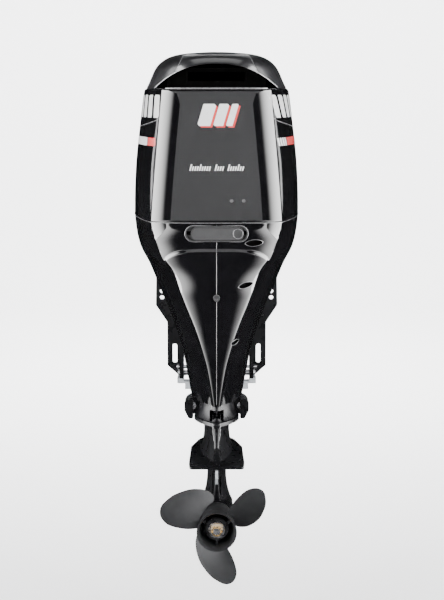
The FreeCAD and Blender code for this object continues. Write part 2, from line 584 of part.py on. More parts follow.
def propeller_parts():
    start, end = 0.0, d.hub_front_y - d.hub_rear_y
    rear = d.hub_radius
    outer = [(44, start), (47.5, 10), (48.5, 60), (50, 105), (53.5, 128), (rear, end)]
    inner = [(rear - 2.5, end), (49.5, 128), (46, 105), (44.5, 60), (43.5, 12), (40.5, start)]
    barrel_face = Part.Face(Part.Wire([
        spline([(r, 0, h) for r, h in outer]),
        Part.LineSegment(V(rear, 0, end), V(rear - 2.5, 0, end)).toShape(),
        spline([(r, 0, h) for r, h in inner]),
        Part.LineSegment(V(40.5, 0, start), V(44, 0, start)).toShape(),
    ]))
    barrel = barrel_face.revolve(V(0, 0, 0), Z_AXIS, 360)
    core_wire = Part.makePolygon([V(r, 0, h) for r, h in
                                  [(17.05, 4), (31, 4), (33, 16), (33, 106), (30, 110), (17.05, 110), (17.05, 4)]])
    core = Part.Face(core_wire).revolve(V(0, 0, 0), Z_AXIS, 360)
    hub = barrel.fuse(core)
    for i in range(3):
        rib = Part.makeBox(16, 6, 92, V(31, -3, 12))
        rib.rotate(V(0, 0, 0), Z_AXIS, 30 + 120 * i)
        hub = hub.fuse(rib)
    for i in range(4):
        notch = Part.makeBox(9, 8, 10, V(27, -4, 102))
        notch.rotate(V(0, 0, 0), Z_AXIS, 20 + 90 * i)
        hub = hub.cut(notch)
    # the hub's own axis is +Z with the rear at the top; the blades' centre lies at 100 mm from its front
    hub.rotate(V(0, 0, 0), X_AXIS, 90)
    hub.translate(V(0, d.hub_front_y, d.prop_z))
    whole = hub
    void = Part.makeCylinder(46, 200, V(0, d.hub_rear_y - 30, d.prop_z), Y_AXIS)
    for i in range(3):
        one = blade()
        one.rotate(V(0, 0, 0), X_AXIS, 180)
        one.translate(V(0, d.hub_front_y - 74, d.prop_z))
        one.rotate(V(0, 0, d.prop_z), Y_AXIS, 120 * i)
        whole = whole.fuse(one.cut(void))
    keep("propeller", free_form(whole))
    bush = cylinder(17, 104, (0, "hub_front_y - 109", "prop_z"), ALONG_Y)
    keep("propeller_bush", cut(bush, cylinder(10.05, 120, (0, -420, "prop_z"), ALONG_Y)))
    spacer = cylinder(23, 5, (0, -419.2, "prop_z"), ALONG_Y)
    keep("nut_washer", cut(spacer, cylinder(10.05, 30, (0, -430, "prop_z"), ALONG_Y)))
    nut = doc.addObject("Part::Prism", "PropNut")
    nut.Polygon = 6
    bind(nut, Circumradius=16, Height=13)
    place(nut, (0, -432.4, "prop_z"), ALONG_Y)
    slots = [box(40, 7, 4.4, (-20, -434.4, "prop_z - 2.2"))]
    for turn in (60, 120):
        slot = box(40, 7, 4.4, (0, 0, 0))
        spin = FreeCAD.Rotation(Y_AXIS, turn)
        corner = spin.multVec(V(-20, 0, -2.2))
        slot.Placement = FreeCAD.Placement(V(corner.x, -434.4, d.prop_z + corner.z), spin)
        for letter in "xyz":
            slot.setExpression(f"Placement.Base.{letter}", None)
        slots.append(slot)
    keep("propeller_nut", cut(nut, cylinder(10.05, 30, (0, -440, "prop_z"), ALONG_Y), *slots))


# ---------------------------------------------------------------- engine
def engine_parts():
    crank_room = cylinder(58, 366, (0, "drive_y", 173))
    plate = box(212, 268, 20, (-106, -400, 152.2))
    keep("engine_holder", cut(plate, cylinder(20, 60, (0, "drive_y", 140)), box(60, 80, 60, (-30, -350, 140))))
    block = fuse(box(176, 250, 366, (-88, -400, 173)), box(150, 40, 300, (-75, -160, 200)))
    ribs = [box(192, 6, 340, (-96, y, 186)) for y in (-380, -330, -280)]
    keep("cylinder_block", cut(fuse(block, *ribs), crank_room, cylinder(20, 500, (0, "drive_y", 100))))
    head = fuse(box(164, 52, 350, (-82, -452.2, 181)), *[cylinder(24, 20, (-98, -426, z), ALONG_X)
                                                         for z in (220, 305, 390, 475)])
    keep("cylinder_head", head)
    cover = outline_body(
        "HeadCover", "YZ_Plane", [(-452.4, 190), (-452.4, 520), (-470, 520), (-484, 500), (-484, 210), (-470, 190)],
        136, 0, radius=5,
    )
    keep("head_cover", fuse(cover, cylinder(16, 10, (30, -484, 480), ALONG_Y)))
    journals = [cylinder(18, 366, (0, "drive_y", 173.5))]
    webs = []
    for i, z in enumerate((196, 284, 372, 460)):
        side = 1 if i in (0, 3) else -1
        for level in (z, z + 44):
            webs.append(box(48, 80, 12, (-24, f"drive_y - 40 + {side} * 8", level)))
        webs.append(cylinder(15, 36, (0, f"drive_y - {side} * 30", z + 10)))
    keep("crankshaft", cut(fuse(*journals, *webs), cylinder("shaft_radius", 30, (0, "drive_y", 165))))
    ring = cut(cylinder(123, 8, (0, "drive_y", 552)), *ring_notches(40, 123, 552))
    wheel = fuse(ring, cylinder(118, 14, (0, "drive_y", 556)), cylinder(96, 22, (0, "drive_y", 556)),
                 cylinder(24, 26, (0, "drive_y", 540)))
    keep("flywheel", wheel)
    cover_rim = cut(cylinder(134, 44, (0, "drive_y", 550)), cylinder(130, 40, (0, "drive_y", 549)))
    feet = [box(60, 20, 11, (x, "drive_y - 10", 539.2)) for x in (-140, 80)]
    keep("flywheel_cover", fuse(cover_rim, *feet))
    plenum = outline_body(
        "Plenum", "XZ_Plane", [(-150, 200), (-150, 500), (-128, 520), (-104, 520), (-104, 200)], 70, 220, radius=8)
    runners = []
    for z in (220, 305, 390, 475):
        runners.append(cylinder(15, 176, (-128, -430, z), ALONG_Y))
        runners.append(cylinder(15, 30, (-128, -428, z), ALONG_X))
        ball = doc.addObject("Part::Sphere", "RunnerBend")
        bind(ball, Radius=15)
        place(ball, (-128, -428, z))
        runners.append(ball)
    keep("intake_manifold", fuse(plenum, *runners))
    keep("starter_motor", fuse(cylinder(34, 150, (134, -120, 330)), cylinder(20, 16, (134, -120, 480)),
                               cylinder(17, 110, (134, -188, 350)), box(36, 45, 60, (88.2, -185, 400))))


def ring_notches(count, radius, z):
    notches = []
    for i in range(count):
        turn = FreeCAD.Rotation(Z_AXIS, 360 * i / count)
        corner = turn.multVec(V(radius - 3, -4, 0))
        notch = box(8, 8, 30, (0, 0, 0))
        notch.Placement = FreeCAD.Placement(V(corner.x, d.drive_y + corner.y, z - 10), turn)
        for letter in "xyz":
            notch.setExpression(f"Placement.Base.{letter}", None)
        notches.append(notch)
    return notches


# ---------------------------------------------------------------- cowl
def cowl_section(z, half, panel, rear_y, front_y, inset=0.0, step=2.0):
    """Plan outline with four edges: the rear panel, its two small steps, and the sides round the front."""
    half, panel, rear_y, front_y = half - inset, panel - inset, rear_y + inset, front_y - inset
    edge_y = rear_y + 27
    middle_y = -190.0
    tight = min(1.0, panel / 90)
    rear = [(panel, edge_y), (panel - 7 * tight, rear_y + 15), (panel - 18 * tight, rear_y + 7.5),
            (panel - 36 * tight, rear_y + 3), (panel * 0.45, rear_y + 0.8), (0, rear_y)]
    rear += [(-x, y) for x, y in reversed(rear[:-1])]
    side_x, side_y = panel - step, edge_y + 3
    side = []
    for share in (0.0, 0.16, 0.38, 0.65, 1.0):
        bulge = 1 - (1 - share) ** 2
        side.append((side_x + (half - side_x) * bulge, side_y + (middle_y - side_y) * share))
    for degrees in (18, 36, 54, 72):
        c, s = math.cos(math.radians(degrees)), math.sin(math.radians(degrees))
        side.append((half * c ** 0.78, middle_y + (front_y - middle_y) * s ** 0.78))
    side.append((0, front_y))
    side += [(-x, y) for x, y in reversed(side[:-1])]
    edges = [
        spline([(x, y, z) for x, y in reversed(rear)]),
        Part.LineSegment(V(panel, edge_y, z), V(side_x, side_y, z)).toShape(),
        spline([(x, y, z) for x, y in side]),
        Part.LineSegment(V(-side_x, side_y, z), V(-panel, edge_y, z)).toShape(),
    ]
    return Part.Wire(edges)


UPPER_LEVELS = [  # z, half width, panel half width, rear y, front y
    (278, 230, 170, -530, 230), (337, 229, 165.5, -528, 229), (426, 224, 158, -522, 224),
    (516, 213.5, 150, -512, 214), (580, 205.5, 144, -503, 204), (618, 200, 141, -496, 196),
]
LOWER_LEVELS = [
    (273, 230, 170, -530, 230), (240, 227, 164, -525, 228), (208, 222, 153, -515, 222), (176, 212, 142, -505, 214),
    (137, 192, 116, -496, 204), (74, 166, 95, -484, 180), (-22, 128, 62, -452, 140), (-123, 97, 36, -408, 100),
    (-174, 87, 27, -384, 80), (-258, 72, 15, -343, 60),
]


def levels_loft(levels, inset=0.0, top=0.0, bottom=0.0, ruled=False):
    moved = [list(level) for level in levels]
    moved[0][0] += bottom if moved[0][0] < moved[-1][0] else top
    moved[-1][0] += top if moved[0][0] < moved[-1][0] else bottom
    return loft([cowl_section(*level, inset=inset) for level in moved], ruled)


def arch_prism(half_width, base_z, crown_z, y_from, y_to):
    """A D-shaped prism along Y: flat at base_z, arched up to crown_z in the middle."""
    points = []
    for i in range(13):
        angle = math.pi * i / 12
        points.append((half_width * math.cos(angle), y_from, base_z + (crown_z - base_z) * math.sin(angle) ** 0.8))
    top = spline(points)
    bottom = Part.LineSegment(V(-half_width, y_from, base_z), V(half_width, y_from, base_z)).toShape()
    return Part.Face(Part.Wire([top, bottom])).extrude(V(0, y_to - y_from, 0))


def lid_section(z, half, rear_y, front_y, inset=0.0):
    half, rear_y, front_y = half - inset, rear_y + inset, front_y - inset
    middle_y = -190.0
    points = []
    for i in range(32):
        angle = 2 * math.pi * i / 32
        c, s = math.cos(angle), math.sin(angle)
        x = half * math.copysign(abs(c) ** 0.72, c)
        reach = front_y - middle_y if s > 0 else middle_y - rear_y
        points.append((x, middle_y + reach * math.copysign(abs(s) ** 0.72, s), z))
    return closed_spline(points)


LID_LEVELS = [  # z, half width, rear y, front y
    (618.3, 193, -495, 191), (646, 184, -493, 182), (672, 172, -488, 160), (695, 155, -478, 120),
    (710, 133, -462, 70), (719, 96, -430, 0), (722, 40, -360, -80),
]


def upper_cowl_parts():
    outer = levels_loft(UPPER_LEVELS)
    inner = levels_loft(UPPER_LEVELS, inset=d.skin, bottom=-2, top=-6)
    mouth = Part.makeBox(150, 120, 60, V(-75, -300, d.deck_z - 30))
    upper = outer.cut(inner).cut(mouth)
    for x in (39, 70):
        upper = upper.cut(Part.makeCylinder(4.4, 60, V(x, -560, 330), Y_AXIS))
    keep("upper_cowl", free_form(upper))
    lid_outer = loft([lid_section(*level) for level in LID_LEVELS])
    lid_inner = loft([lid_section(*level, inset=5) for level in
                      [(616, 192, -494, 190)] + [(z - 5, w, r, f) for z, w, r, f in LID_LEVELS[1:-1]]])
    floor = Part.makeBox(600, 900, 30, V(-300, -600, 588.3))
    intake = arch_prism(160, 600, 673, -560, -400)
    lid = lid_outer.cut(lid_inner).cut(floor).cut(intake)
    scoops = Part.makeBox(600, 90, 14, V(-300, -330, 640))
    side_scoops = scoops.cut(Part.makeBox(348, 200, 40, V(-174, -400, 620)))
    keep("top_cover", free_form(lid.cut(side_scoops)))
    tongue_plan = Part.makePolygon([V(-112, 0, 640), V(112, 0, 640), V(78, 0, 740), V(-78, 0, 740), V(-112, 0, 640)])
    wedge = Part.Face(tongue_plan).extrude(V(0, -520, 0)).cut(Part.makeBox(400, 300, 60, V(-200, -560, 610)))
    grown = [(z, w + 3, r - 3, f + 3) for z, w, r, f in LID_LEVELS]
    shell = loft([lid_section(*level) for level in grown[:-1] + [(725, 60, -380, -60)]])
    tongue = shell.cut(lid_outer).common(wedge).cut(arch_prism(160, 600, 673, -560, -400))
    keep("top_cover_insert", free_form(max(tongue.Solids, key=lambda s: s.Volume)))
    baffle = cut(box(260, 4, 50, (-130, -396, 620)), box(150, 20, 24, (-75, -400, 636)))
    walls = [box(4, 110, 40, (x, -394, 620)) for x in (-130, 126)]
    keep("intake_baffle", fuse(baffle, *walls))
    seal_outer = cowl_section(273.2, 230, 170, -530, 230, inset=5)
    seal_inner = cowl_section(273.2, 230, 170, -530, 230, inset=11)
    seal = Part.Face(seal_outer).extrude(V(0, 0, 4.6)).cut(Part.Face(seal_inner).extrude(V(0, 0, 4.6)))
    keep("cowl_seal", free_form(seal.cut(Part.makeBox(26, 30, 20, V(51, -532, 268)))))


def stadium(length, height, depth, at):
    """A prism along Y with round ends; at is its centre, with its aft face at the given Y."""
    x, y, z = at
    radius = height / 2
    reach = length / 2 - radius
    plan = Part.Wire([
        Part.LineSegment(V(x - reach, y, z - radius), V(x + reach, y, z - radius)).toShape(),
        Part.Arc(V(x + reach, y, z - radius), V(x + reach + radius, y, z), V(x + reach, y, z + radius)).toShape(),
        Part.LineSegment(V(x + reach, y, z + radius), V(x - reach, y, z + radius)).toShape(),
        Part.Arc(V(x - reach, y, z + radius), V(x - reach - radius, y, z), V(x - reach, y, z - radius)).toShape(),
    ])
    return Part.Face(plan).extrude(V(0, depth, 0))


def lens(width, height, tilt, at):
    """A lens-shaped prism along Y, for the vents in the starboard cover."""
    x, z = at
    half = width / 2
    lower = Part.Arc(V(x - half, -600, z), V(x, -600, z - height / 2), V(x + half, -600, z)).toShape()
    upper = Part.Arc(V(x + half, -600, z), V(x, -600, z + height / 2), V(x - half, -600, z)).toShape()
    prism = Part.Face(Part.Wire([lower, upper])).extrude(V(0, 320, 0))
    prism.rotate(V(x, 0, z), Y_AXIS, -tilt)
    return prism


LATCH_Z = 244
SPINE_LEVELS = [(z, panel, rear_y) for z, _, panel, rear_y, _ in LOWER_LEVELS[2:]]


def spine_section(z, panel, rear_y, grow, depth):
    """The raised rear panel of the covers: a shallow curved band with rounded edges."""
    rear_y -= grow
    edge_y = rear_y + 27
    rear = [(panel, edge_y), (panel - min(7, panel * 0.2), rear_y + 15), (panel * 0.82, rear_y + 7.5),
            (panel * 0.62, rear_y + 3), (0, rear_y)]
    rear += [(-x, y) for x, y in reversed(rear[:-1])]
    front_y = edge_y + depth
    return Part.Wire([
        spline([(x, y, z) for x, y in reversed(rear)]),
        Part.LineSegment(V(panel, edge_y, z), V(panel * 0.9, front_y, z)).toShape(),
        Part.LineSegment(V(panel * 0.9, front_y, z), V(-panel * 0.9, front_y, z)).toShape(),
        Part.LineSegment(V(-panel * 0.9, front_y, z), V(-panel, edge_y, z)).toShape(),
    ])


def lower_cover_parts():
    outer = levels_loft(LOWER_LEVELS, ruled=True)
    inner = levels_loft(LOWER_LEVELS, inset=d.skin, top=3, bottom=-3, ruled=True)
    spine = loft([spine_section(z, panel, rear_y, 5, 6) for z, panel, rear_y in SPINE_LEVELS], True)
    crown = arch_prism(176, -700, 203.5, -620, -380)
    spine = spine.common(crown)
    front_cut = Part.makeBox(700, 600, 700, V(-350, d.apron_front_y, d.band_bottom - 700))
    shell = outer.fuse(spine).cut(inner).cut(front_cut)
    floor_plan = Part.Face(cowl_section(d.band_bottom, 221.5, 152, -514, 221, inset=d.skin + 0.5))
    floor = floor_plan.extrude(V(0, 0, 4)).cut(Part.makeBox(240, 460, 20, V(-120, -560, d.band_bottom - 8)))
    floor = floor.cut(Part.makeBox(600, 400, 20, V(-300, -560, d.band_bottom - 8)))
    shell = shell.fuse(floor)
    cup_hole = stadium(164, 43, 40, (0, -560, LATCH_Z)).fuse(stadium(164, 43, 60, (0, -530, LATCH_Z)))
    vents = [lens(46, 17, 4, (98, 219)), lens(40, 14, 16, (77, 104)), lens(22, 14, 24, (50, -62))]
    port_hole = Part.makeCylinder(9, 60, V(0, -510, 70), Y_AXIS)
    grommet_hole = Part.makeCylinder(22.1, 80, V(60, 190, 239), Y_AXIS)
    switch_hole = Part.makeBox(60, 24.8, 16.8, V(200, -72.4, 229.6))
    shell = shell.cut(cup_hole).cut(port_hole).cut(grommet_hole).cut(switch_hole)
    for tool in vents:
        shell = shell.cut(tool)
    gap = 0.35
    for name, low in (("lower_cover_port", -400), ("lower_cover_starboard", gap)):
        half = shell.common(Part.makeBox(400 - gap, 1000, 700, V(low, -650, -330)))
        keep(name, free_form(max(half.Solids, key=lambda s: s.Volume)))
    cup = stadium(163, 42, 20, (0, -526, LATCH_Z)).cut(stadium(157, 37, 16.5, (0, -526, LATCH_Z)))
    cup = cup.cut(Part.makeCylinder(4.4, 60, V(64, -517, 245)))
    keep("latch_recess", free_form(cup))
    grip = stadium(138, 34, 8, (2, -524, LATCH_Z)).fuse(Part.makeCylinder(12, 4, V(56, -526, LATCH_Z), Y_AXIS))
    grip = grip.cut(Part.makeCylinder(9, 1.5, V(56, -526, LATCH_Z), Y_AXIS))
    pivot = Part.makeCylinder(4, 65, V(64, -517, 228))
    hook = Part.makeBox(22, 8, 5, V(60, -521, 286))
    keep("latch_handle", free_form(grip.fuse([pivot, hook])))
    plug = cylinder(8.9, 16, (0, -492, 70), ALONG_Y)
    keep("flush_port_plug", cut(plug, cylinder(4.5, 3, (0, -492, 70), ALONG_Y), box(12, 1.6, 2.4, (-6, -490, 68.8))))
    keep("rigging_grommet", cut(cylinder(22, 34, (60, 204, 239), ALONG_Y), cylinder(15, 60, (60, 195, 239), ALONG_Y)))
    keep("tilt_switch_button", box(8, 24, 16, (223, -72, 230)))


def cowl_small_parts():
    plugs = [cylinder(4.4, 8, (x, -528.6, 330), ALONG_Y) for x in (39, 70)]
    keep("cowl_plugs", group(*plugs))


# ---------------------------------------------------------------- build, check, write
def check_and_export():
    doc.recompute()
    for obj in doc.Objects:
        if "Invalid" in obj.State or "Error" in obj.State:
            raise RuntimeError(f"{obj.Name} ({obj.Label}) failed: {obj.State}")
    os.makedirs("parts", exist_ok=True)
    for name in os.listdir("parts"):
        if name.endswith(".step"):
            os.remove(os.path.join("parts", name))
    for obj in sub_parts:
        shape = obj.Shape
        if shape.isNull() or not shape.isValid() or shape.Volume <= 0:
            raise RuntimeError(f"{obj.Label}: the shape is null, not valid or empty")
        shape.exportStep(f"parts/{obj.Label}.step")
        print(f"{obj.Label}: {len(shape.Solids)} solid(s), {shape.Volume / 1000:.1f} cm3")


for make in (fixed_parts, tilt_ram, swivel_parts, steering_parts, leg_parts, gearcase_parts, gear_parts,
             propeller_parts, engine_parts, upper_cowl_parts, lower_cover_parts, cowl_small_parts):
    make()
check_and_export()
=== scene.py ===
"""Outboard motor seen from behind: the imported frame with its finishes, skins, trim, studio and camera."""

import json
import math

import bmesh
import bpy
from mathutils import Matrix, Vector
from mathutils.bvhtree import BVHTree


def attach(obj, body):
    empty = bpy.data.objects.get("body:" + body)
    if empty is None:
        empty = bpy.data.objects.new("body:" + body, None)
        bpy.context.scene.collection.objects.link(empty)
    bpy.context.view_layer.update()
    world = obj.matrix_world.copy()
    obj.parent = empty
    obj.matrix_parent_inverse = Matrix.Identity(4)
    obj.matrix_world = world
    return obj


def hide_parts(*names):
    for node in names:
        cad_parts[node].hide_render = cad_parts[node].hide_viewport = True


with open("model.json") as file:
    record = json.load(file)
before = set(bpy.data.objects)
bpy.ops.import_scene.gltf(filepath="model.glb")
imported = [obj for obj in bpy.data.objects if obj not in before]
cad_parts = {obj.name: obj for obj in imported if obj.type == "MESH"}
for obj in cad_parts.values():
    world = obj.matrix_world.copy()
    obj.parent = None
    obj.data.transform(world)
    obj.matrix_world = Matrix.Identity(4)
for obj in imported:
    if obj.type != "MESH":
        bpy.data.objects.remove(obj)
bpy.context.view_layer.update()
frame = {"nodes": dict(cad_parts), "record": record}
NODES = frame["nodes"]
MM = 0.001
SIDES = ((-1, "port"), (1, "starboard"))


# ---------------------------------------------------------------- materials
def new_material(name):
    material = bpy.data.materials.new(name)
    material.use_nodes = True
    tree = material.node_tree
    return material, tree, tree.nodes["Principled BSDF"]


def noise(tree, scale, detail=4.0, stretch=(1, 1, 1)):
    """Object-space noise; stretch squeezes it along an axis for a brushed look."""
    coords = tree.nodes.new("ShaderNodeTexCoord")
    mapping = tree.nodes.new("ShaderNodeMapping")
    mapping.inputs["Scale"].default_value = stretch
    tree.links.new(coords.outputs["Object"], mapping.inputs["Vector"])
    texture = tree.nodes.new("ShaderNodeTexNoise")
    texture.inputs["Scale"].default_value = scale
    texture.inputs["Detail"].default_value = detail
    texture.inputs["Roughness"].default_value = 0.55
    tree.links.new(mapping.outputs["Vector"], texture.inputs["Vector"])
    return texture.outputs["Fac"]


def ramp(tree, value, low, high, start=0.3, end=0.7):
    """Maps a value to a range of numbers (greys) or colours."""
    node = tree.nodes.new("ShaderNodeValToRGB")
    node.color_ramp.elements[0].position = start
    node.color_ramp.elements[1].position = end
    colours = [c if hasattr(c, "__len__") else (c, c, c) for c in (low, high)]
    for element, colour in zip(node.color_ramp.elements, colours):
        element.color = (*colour, 1)
    tree.links.new(value, node.inputs["Fac"])
    return node.outputs["Color"]


def bump(tree, shader, layers):
    """Stacks bump layers of (height, strength, distance) on the shader."""
    previous = None
    for height, strength, distance in layers:
        node = tree.nodes.new("ShaderNodeBump")
        node.inputs["Strength"].default_value = strength
        node.inputs["Distance"].default_value = distance
        tree.links.new(height, node.inputs["Height"])
        if previous is not None:
            tree.links.new(previous, node.inputs["Normal"])
        previous = node.outputs["Normal"]
    tree.links.new(previous, shader.inputs["Normal"])


def finish_of(name, colour, roughness, metallic=0.0, coat=0.0, coat_roughness=0.05, specular=0.5,
              spread=0.25, mottle=30.0, stretch=(1, 1, 1), layers=()):
    """A finish with varied colour and roughness.

    spread is the colour's variation and mottle the scale of its patches; layers are bumps, each as
    (noise scale, strength, distance in metres).
    """
    material, tree, shader = new_material(name)
    shader.inputs["Metallic"].default_value = metallic
    shader.inputs["Coat Weight"].default_value = coat
    shader.inputs["Coat Roughness"].default_value = coat_roughness
    shader.inputs["Specular IOR Level"].default_value = specular
    low = tuple(c * (1 - spread) for c in colour)
    high = tuple(min(1.0, c * (1 + spread)) for c in colour)
    patches = noise(tree, mottle, stretch=stretch)
    tree.links.new(ramp(tree, patches, low, high), shader.inputs["Base Color"])
    wear = noise(tree, mottle * 2.3, 6, stretch)
    blur = ramp(tree, wear, max(0.02, roughness * 0.8), roughness * 1.2)
    tree.links.new(blur, shader.inputs["Roughness"])
    if layers:
        bump(tree, shader, [(noise(tree, scale, 3, stretch), strength, distance)
                            for scale, strength, distance in layers])
    return material


def film_finish(name, colour, spread):
    return finish_of(name, colour, 0.32, coat=0.6, spread=spread, layers=[(700, 0.04, 0.0002)])


GLOSS = finish_of("gloss_lacquer", (0.0045, 0.0045, 0.0052), 0.5, coat=1.0, coat_roughness=0.045,
                  specular=0.0, mottle=9)
SATIN = finish_of("satin_moulding", (0.010, 0.010, 0.011), 0.42, mottle=60, layers=[(1500, 0.25, 0.0002)])
COVER = finish_of("lid_moulding", (0.006, 0.006, 0.007), 0.36, coat=0.05, coat_roughness=0.16,
                  specular=0.06, mottle=12, layers=[(900, 0.05, 0.0002)])
TONGUE = finish_of("tongue_moulding", (0.006, 0.006, 0.007), 0.34, coat=0.30, coat_roughness=0.14,
                   specular=0.1, mottle=12, layers=[(900, 0.05, 0.0002)])
PAINT = finish_of("cast_paint", (0.005, 0.005, 0.006), 0.30, specular=0.09, mottle=18,
                  layers=[(160, 0.06, 0.0004)])
BLADE = finish_of("propeller_paint", (0.016, 0.0163, 0.0173), 0.46, specular=0.05, mottle=14,
                  layers=[(700, 0.06, 0.0002), (40, 0.03, 0.001)])
ALUMINIUM = finish_of("cast_aluminium", (0.55, 0.56, 0.58), 0.48, metallic=1.0, spread=0.12, mottle=40,
                      layers=[(500, 0.25, 0.0003)])
STEEL = finish_of("stainless_steel", (0.52, 0.52, 0.54), 0.26, metallic=1.0, spread=0.08, mottle=70,
                  stretch=(0.15, 1, 1), layers=[(900, 0.10, 0.0002)])
IRON = finish_of("machined_iron", (0.10, 0.10, 0.105), 0.42, metallic=1.0, mottle=50,
                 layers=[(600, 0.2, 0.0002)])
BRASS = finish_of("turned_brass", (0.78, 0.56, 0.27), 0.27, metallic=1.0, spread=0.12, mottle=90,
                  layers=[(800, 0.10, 0.0002)])
RUBBER = finish_of("black_rubber", (0.012, 0.012, 0.012), 0.65, mottle=40, layers=[(1100, 0.3, 0.0002)])
ZINC = finish_of("dull_zinc", (0.20, 0.21, 0.22), 0.6, metallic=1.0, spread=0.18, mottle=80,
                 layers=[(260, 0.4, 0.0005)])
# Near-black and almost unreflecting: painted shade for the baffle in the lid's mouth and the sheets behind
# the cover's openings.
PAINTED_SHADE = finish_of("painted_shade_dark", (0.002, 0.002, 0.002), 0.9, specular=0.02, layers=[(300, 0.2, 0.0003)])
# Light grey beads along edges and rims: painted highlight lines that stand for the light a lit edge
# catches.
HIGHLIGHT_BEAD = finish_of("painted_highlight_edge", (0.16, 0.16, 0.165), 0.28, coat=0.6, mottle=70,
                 layers=[(900, 0.05, 0.0002)])
WHITE_FILM = film_finish("white_film", (0.80, 0.80, 0.79), 0.03)
RED_FILM = film_finish("red_film", (0.60, 0.012, 0.010), 0.06)

COWL_SLOT, PLASTIC_SLOT, PAINT_SLOT = "gloss_black_cowl", "satin_black_plastic", "black_paint"
BY_SLOT = {
    COWL_SLOT: GLOSS, PLASTIC_SLOT: SATIN, PAINT_SLOT: PAINT, "propeller_paint": BLADE,
    "bare_aluminium": ALUMINIUM, "steel": STEEL, "cast_iron_parts": IRON, "brass_nut": BRASS,
    "rubber_black": RUBBER, "zinc": ZINC,
}


def dress_frame():
    """Gives each CAD node its slot's finish, and the baffle deep in the lid's mouth a near-black one of
    painted shade.
    """
    for entry in frame["record"]["subparts"]:
        material = BY_SLOT[entry["material_slot"]]
        # The baffle gets painted shade, so the lid's mouth reads dark.
        if entry["node"] == "intake_baffle":
            material = PAINTED_SHADE
        materials = NODES[entry["node"]].data.materials
        materials.clear()
        materials.append(material)


# ---------------------------------------------------------------- mesh helpers
def add_object(name, mesh_or_curve, body, material):
    piece = bpy.data.objects.new(name, mesh_or_curve)
    bpy.context.scene.collection.objects.link(piece)
    piece.data.materials.append(material)
    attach(piece, body)
    return piece


def mesh_data(name, mesh):
    """Turns a bmesh into mesh data and frees it."""
    data = bpy.data.meshes.new(name)
    mesh.to_mesh(data)
    mesh.free()
    return data


def smooth(data, crease):
    """Shades smooth, with edges sharper than crease degrees kept sharp."""
    data.shade_smooth()
    data.set_sharp_from_angle(angle=math.radians(crease))


def mirrored(point):
    return Vector((-point.x, point.y, point.z))


def on_side(rows, side):
    """Rows of starboard points, mirrored for the port side."""
    return [[p if side > 0 else mirrored(p) for p in row] for row in rows]


def skin_object(name, rows, thickness, body, material, closed=False, crease=35):
    """A sheet through rows of points, given a thickness inwards, in millimetres."""
    mesh = bmesh.new()
    grid = [[mesh.verts.new(p) for p in row] for row in rows]
    for low, high in zip(grid, grid[1:]):
        count = len(low)
        for i in range(count if closed else count - 1):
            j = (i + 1) % count
            mesh.faces.new((low[i], low[j], high[j], high[i]))
    bmesh.ops.remove_doubles(mesh, verts=mesh.verts, dist=0.00002)
    bmesh.ops.recalc_face_normals(mesh, faces=mesh.faces)
    data = mesh_data(name, mesh)
    smooth(data, crease)
    piece = add_object(name, data, body, material)
    if thickness:
        shell = piece.modifiers.new("thickness", "SOLIDIFY")
        shell.thickness = thickness * MM
        shell.offset = -1
    return piece


def prism_cutter(outlines, low_y, high_y):
    """Prisms along Y through flat (x, z) outlines."""
    mesh = bmesh.new()
    for outline in outlines:
        face = mesh.faces.new([mesh.verts.new((x * MM, low_y * MM, z * MM)) for x, z in outline])
        made = bmesh.ops.extrude_face_region(mesh, geom=[face])["geom"]
        far = [v for v in made if isinstance(v, bmesh.types.BMVert)]
        bmesh.ops.translate(mesh, vec=(0, (high_y - low_y) * MM, 0), verts=far)
    bmesh.ops.recalc_face_normals(mesh, faces=mesh.faces)
    cutter = bpy.data.objects.new("cutter", mesh_data("cutter", mesh))
    bpy.context.scene.collection.objects.link(cutter)
    return cutter


def apply_modifiers(piece):
    bpy.context.view_layer.update()
    evaluated = piece.evaluated_get(bpy.context.evaluated_depsgraph_get())
    data = bpy.data.meshes.new_from_object(evaluated)
    piece.modifiers.clear()
    piece.data = data


def carve(piece, outlines, low_y, high_y, crease):
    """Cuts openings right through a skin, along Y."""
    cutter = prism_cutter(outlines, low_y, high_y)
    cut = piece.modifiers.new("openings", "BOOLEAN")
    cut.object = cutter
    cut.operation = "DIFFERENCE"
    cut.solver = "EXACT"
    apply_modifiers(piece)
    bpy.data.objects.remove(cutter)
    smooth(piece.data, crease)


def tree_over(pieces):
    """A ray-casting tree over the pieces' meshes at rest."""
    points, faces = [], []
    for piece in pieces:
        start = len(points)
        points += [v.co.copy() for v in piece.data.vertices]
        faces += [[start + i for i in p.vertices] for p in piece.data.polygons]
    return BVHTree.FromPolygons(points, faces)


# ---------------------------------------------------------------- the cowl's form, in millimetres
# z, half width, rear panel's half width, rear y, front y
UPPER = [(273, 230, 170, -530, 230), (337, 229, 165.5, -528, 229), (426, 224, 158, -522, 224),
         (516, 213.5, 150, -512, 214), (580, 205.5, 144, -503, 204), (618, 200, 141, -496, 196)]
LOWER = [(-258, 72, 15, -343, 60), (-174, 87, 27, -384, 80), (-123, 97, 36, -408, 100),
         (-22, 128, 62, -452, 140), (74, 166, 95, -484, 180), (137, 192, 116, -496, 204),
         (176, 212, 142, -505, 214), (208, 222, 153, -515, 222), (240, 227, 164, -525, 228),
         (273, 230, 170, -530, 230)]
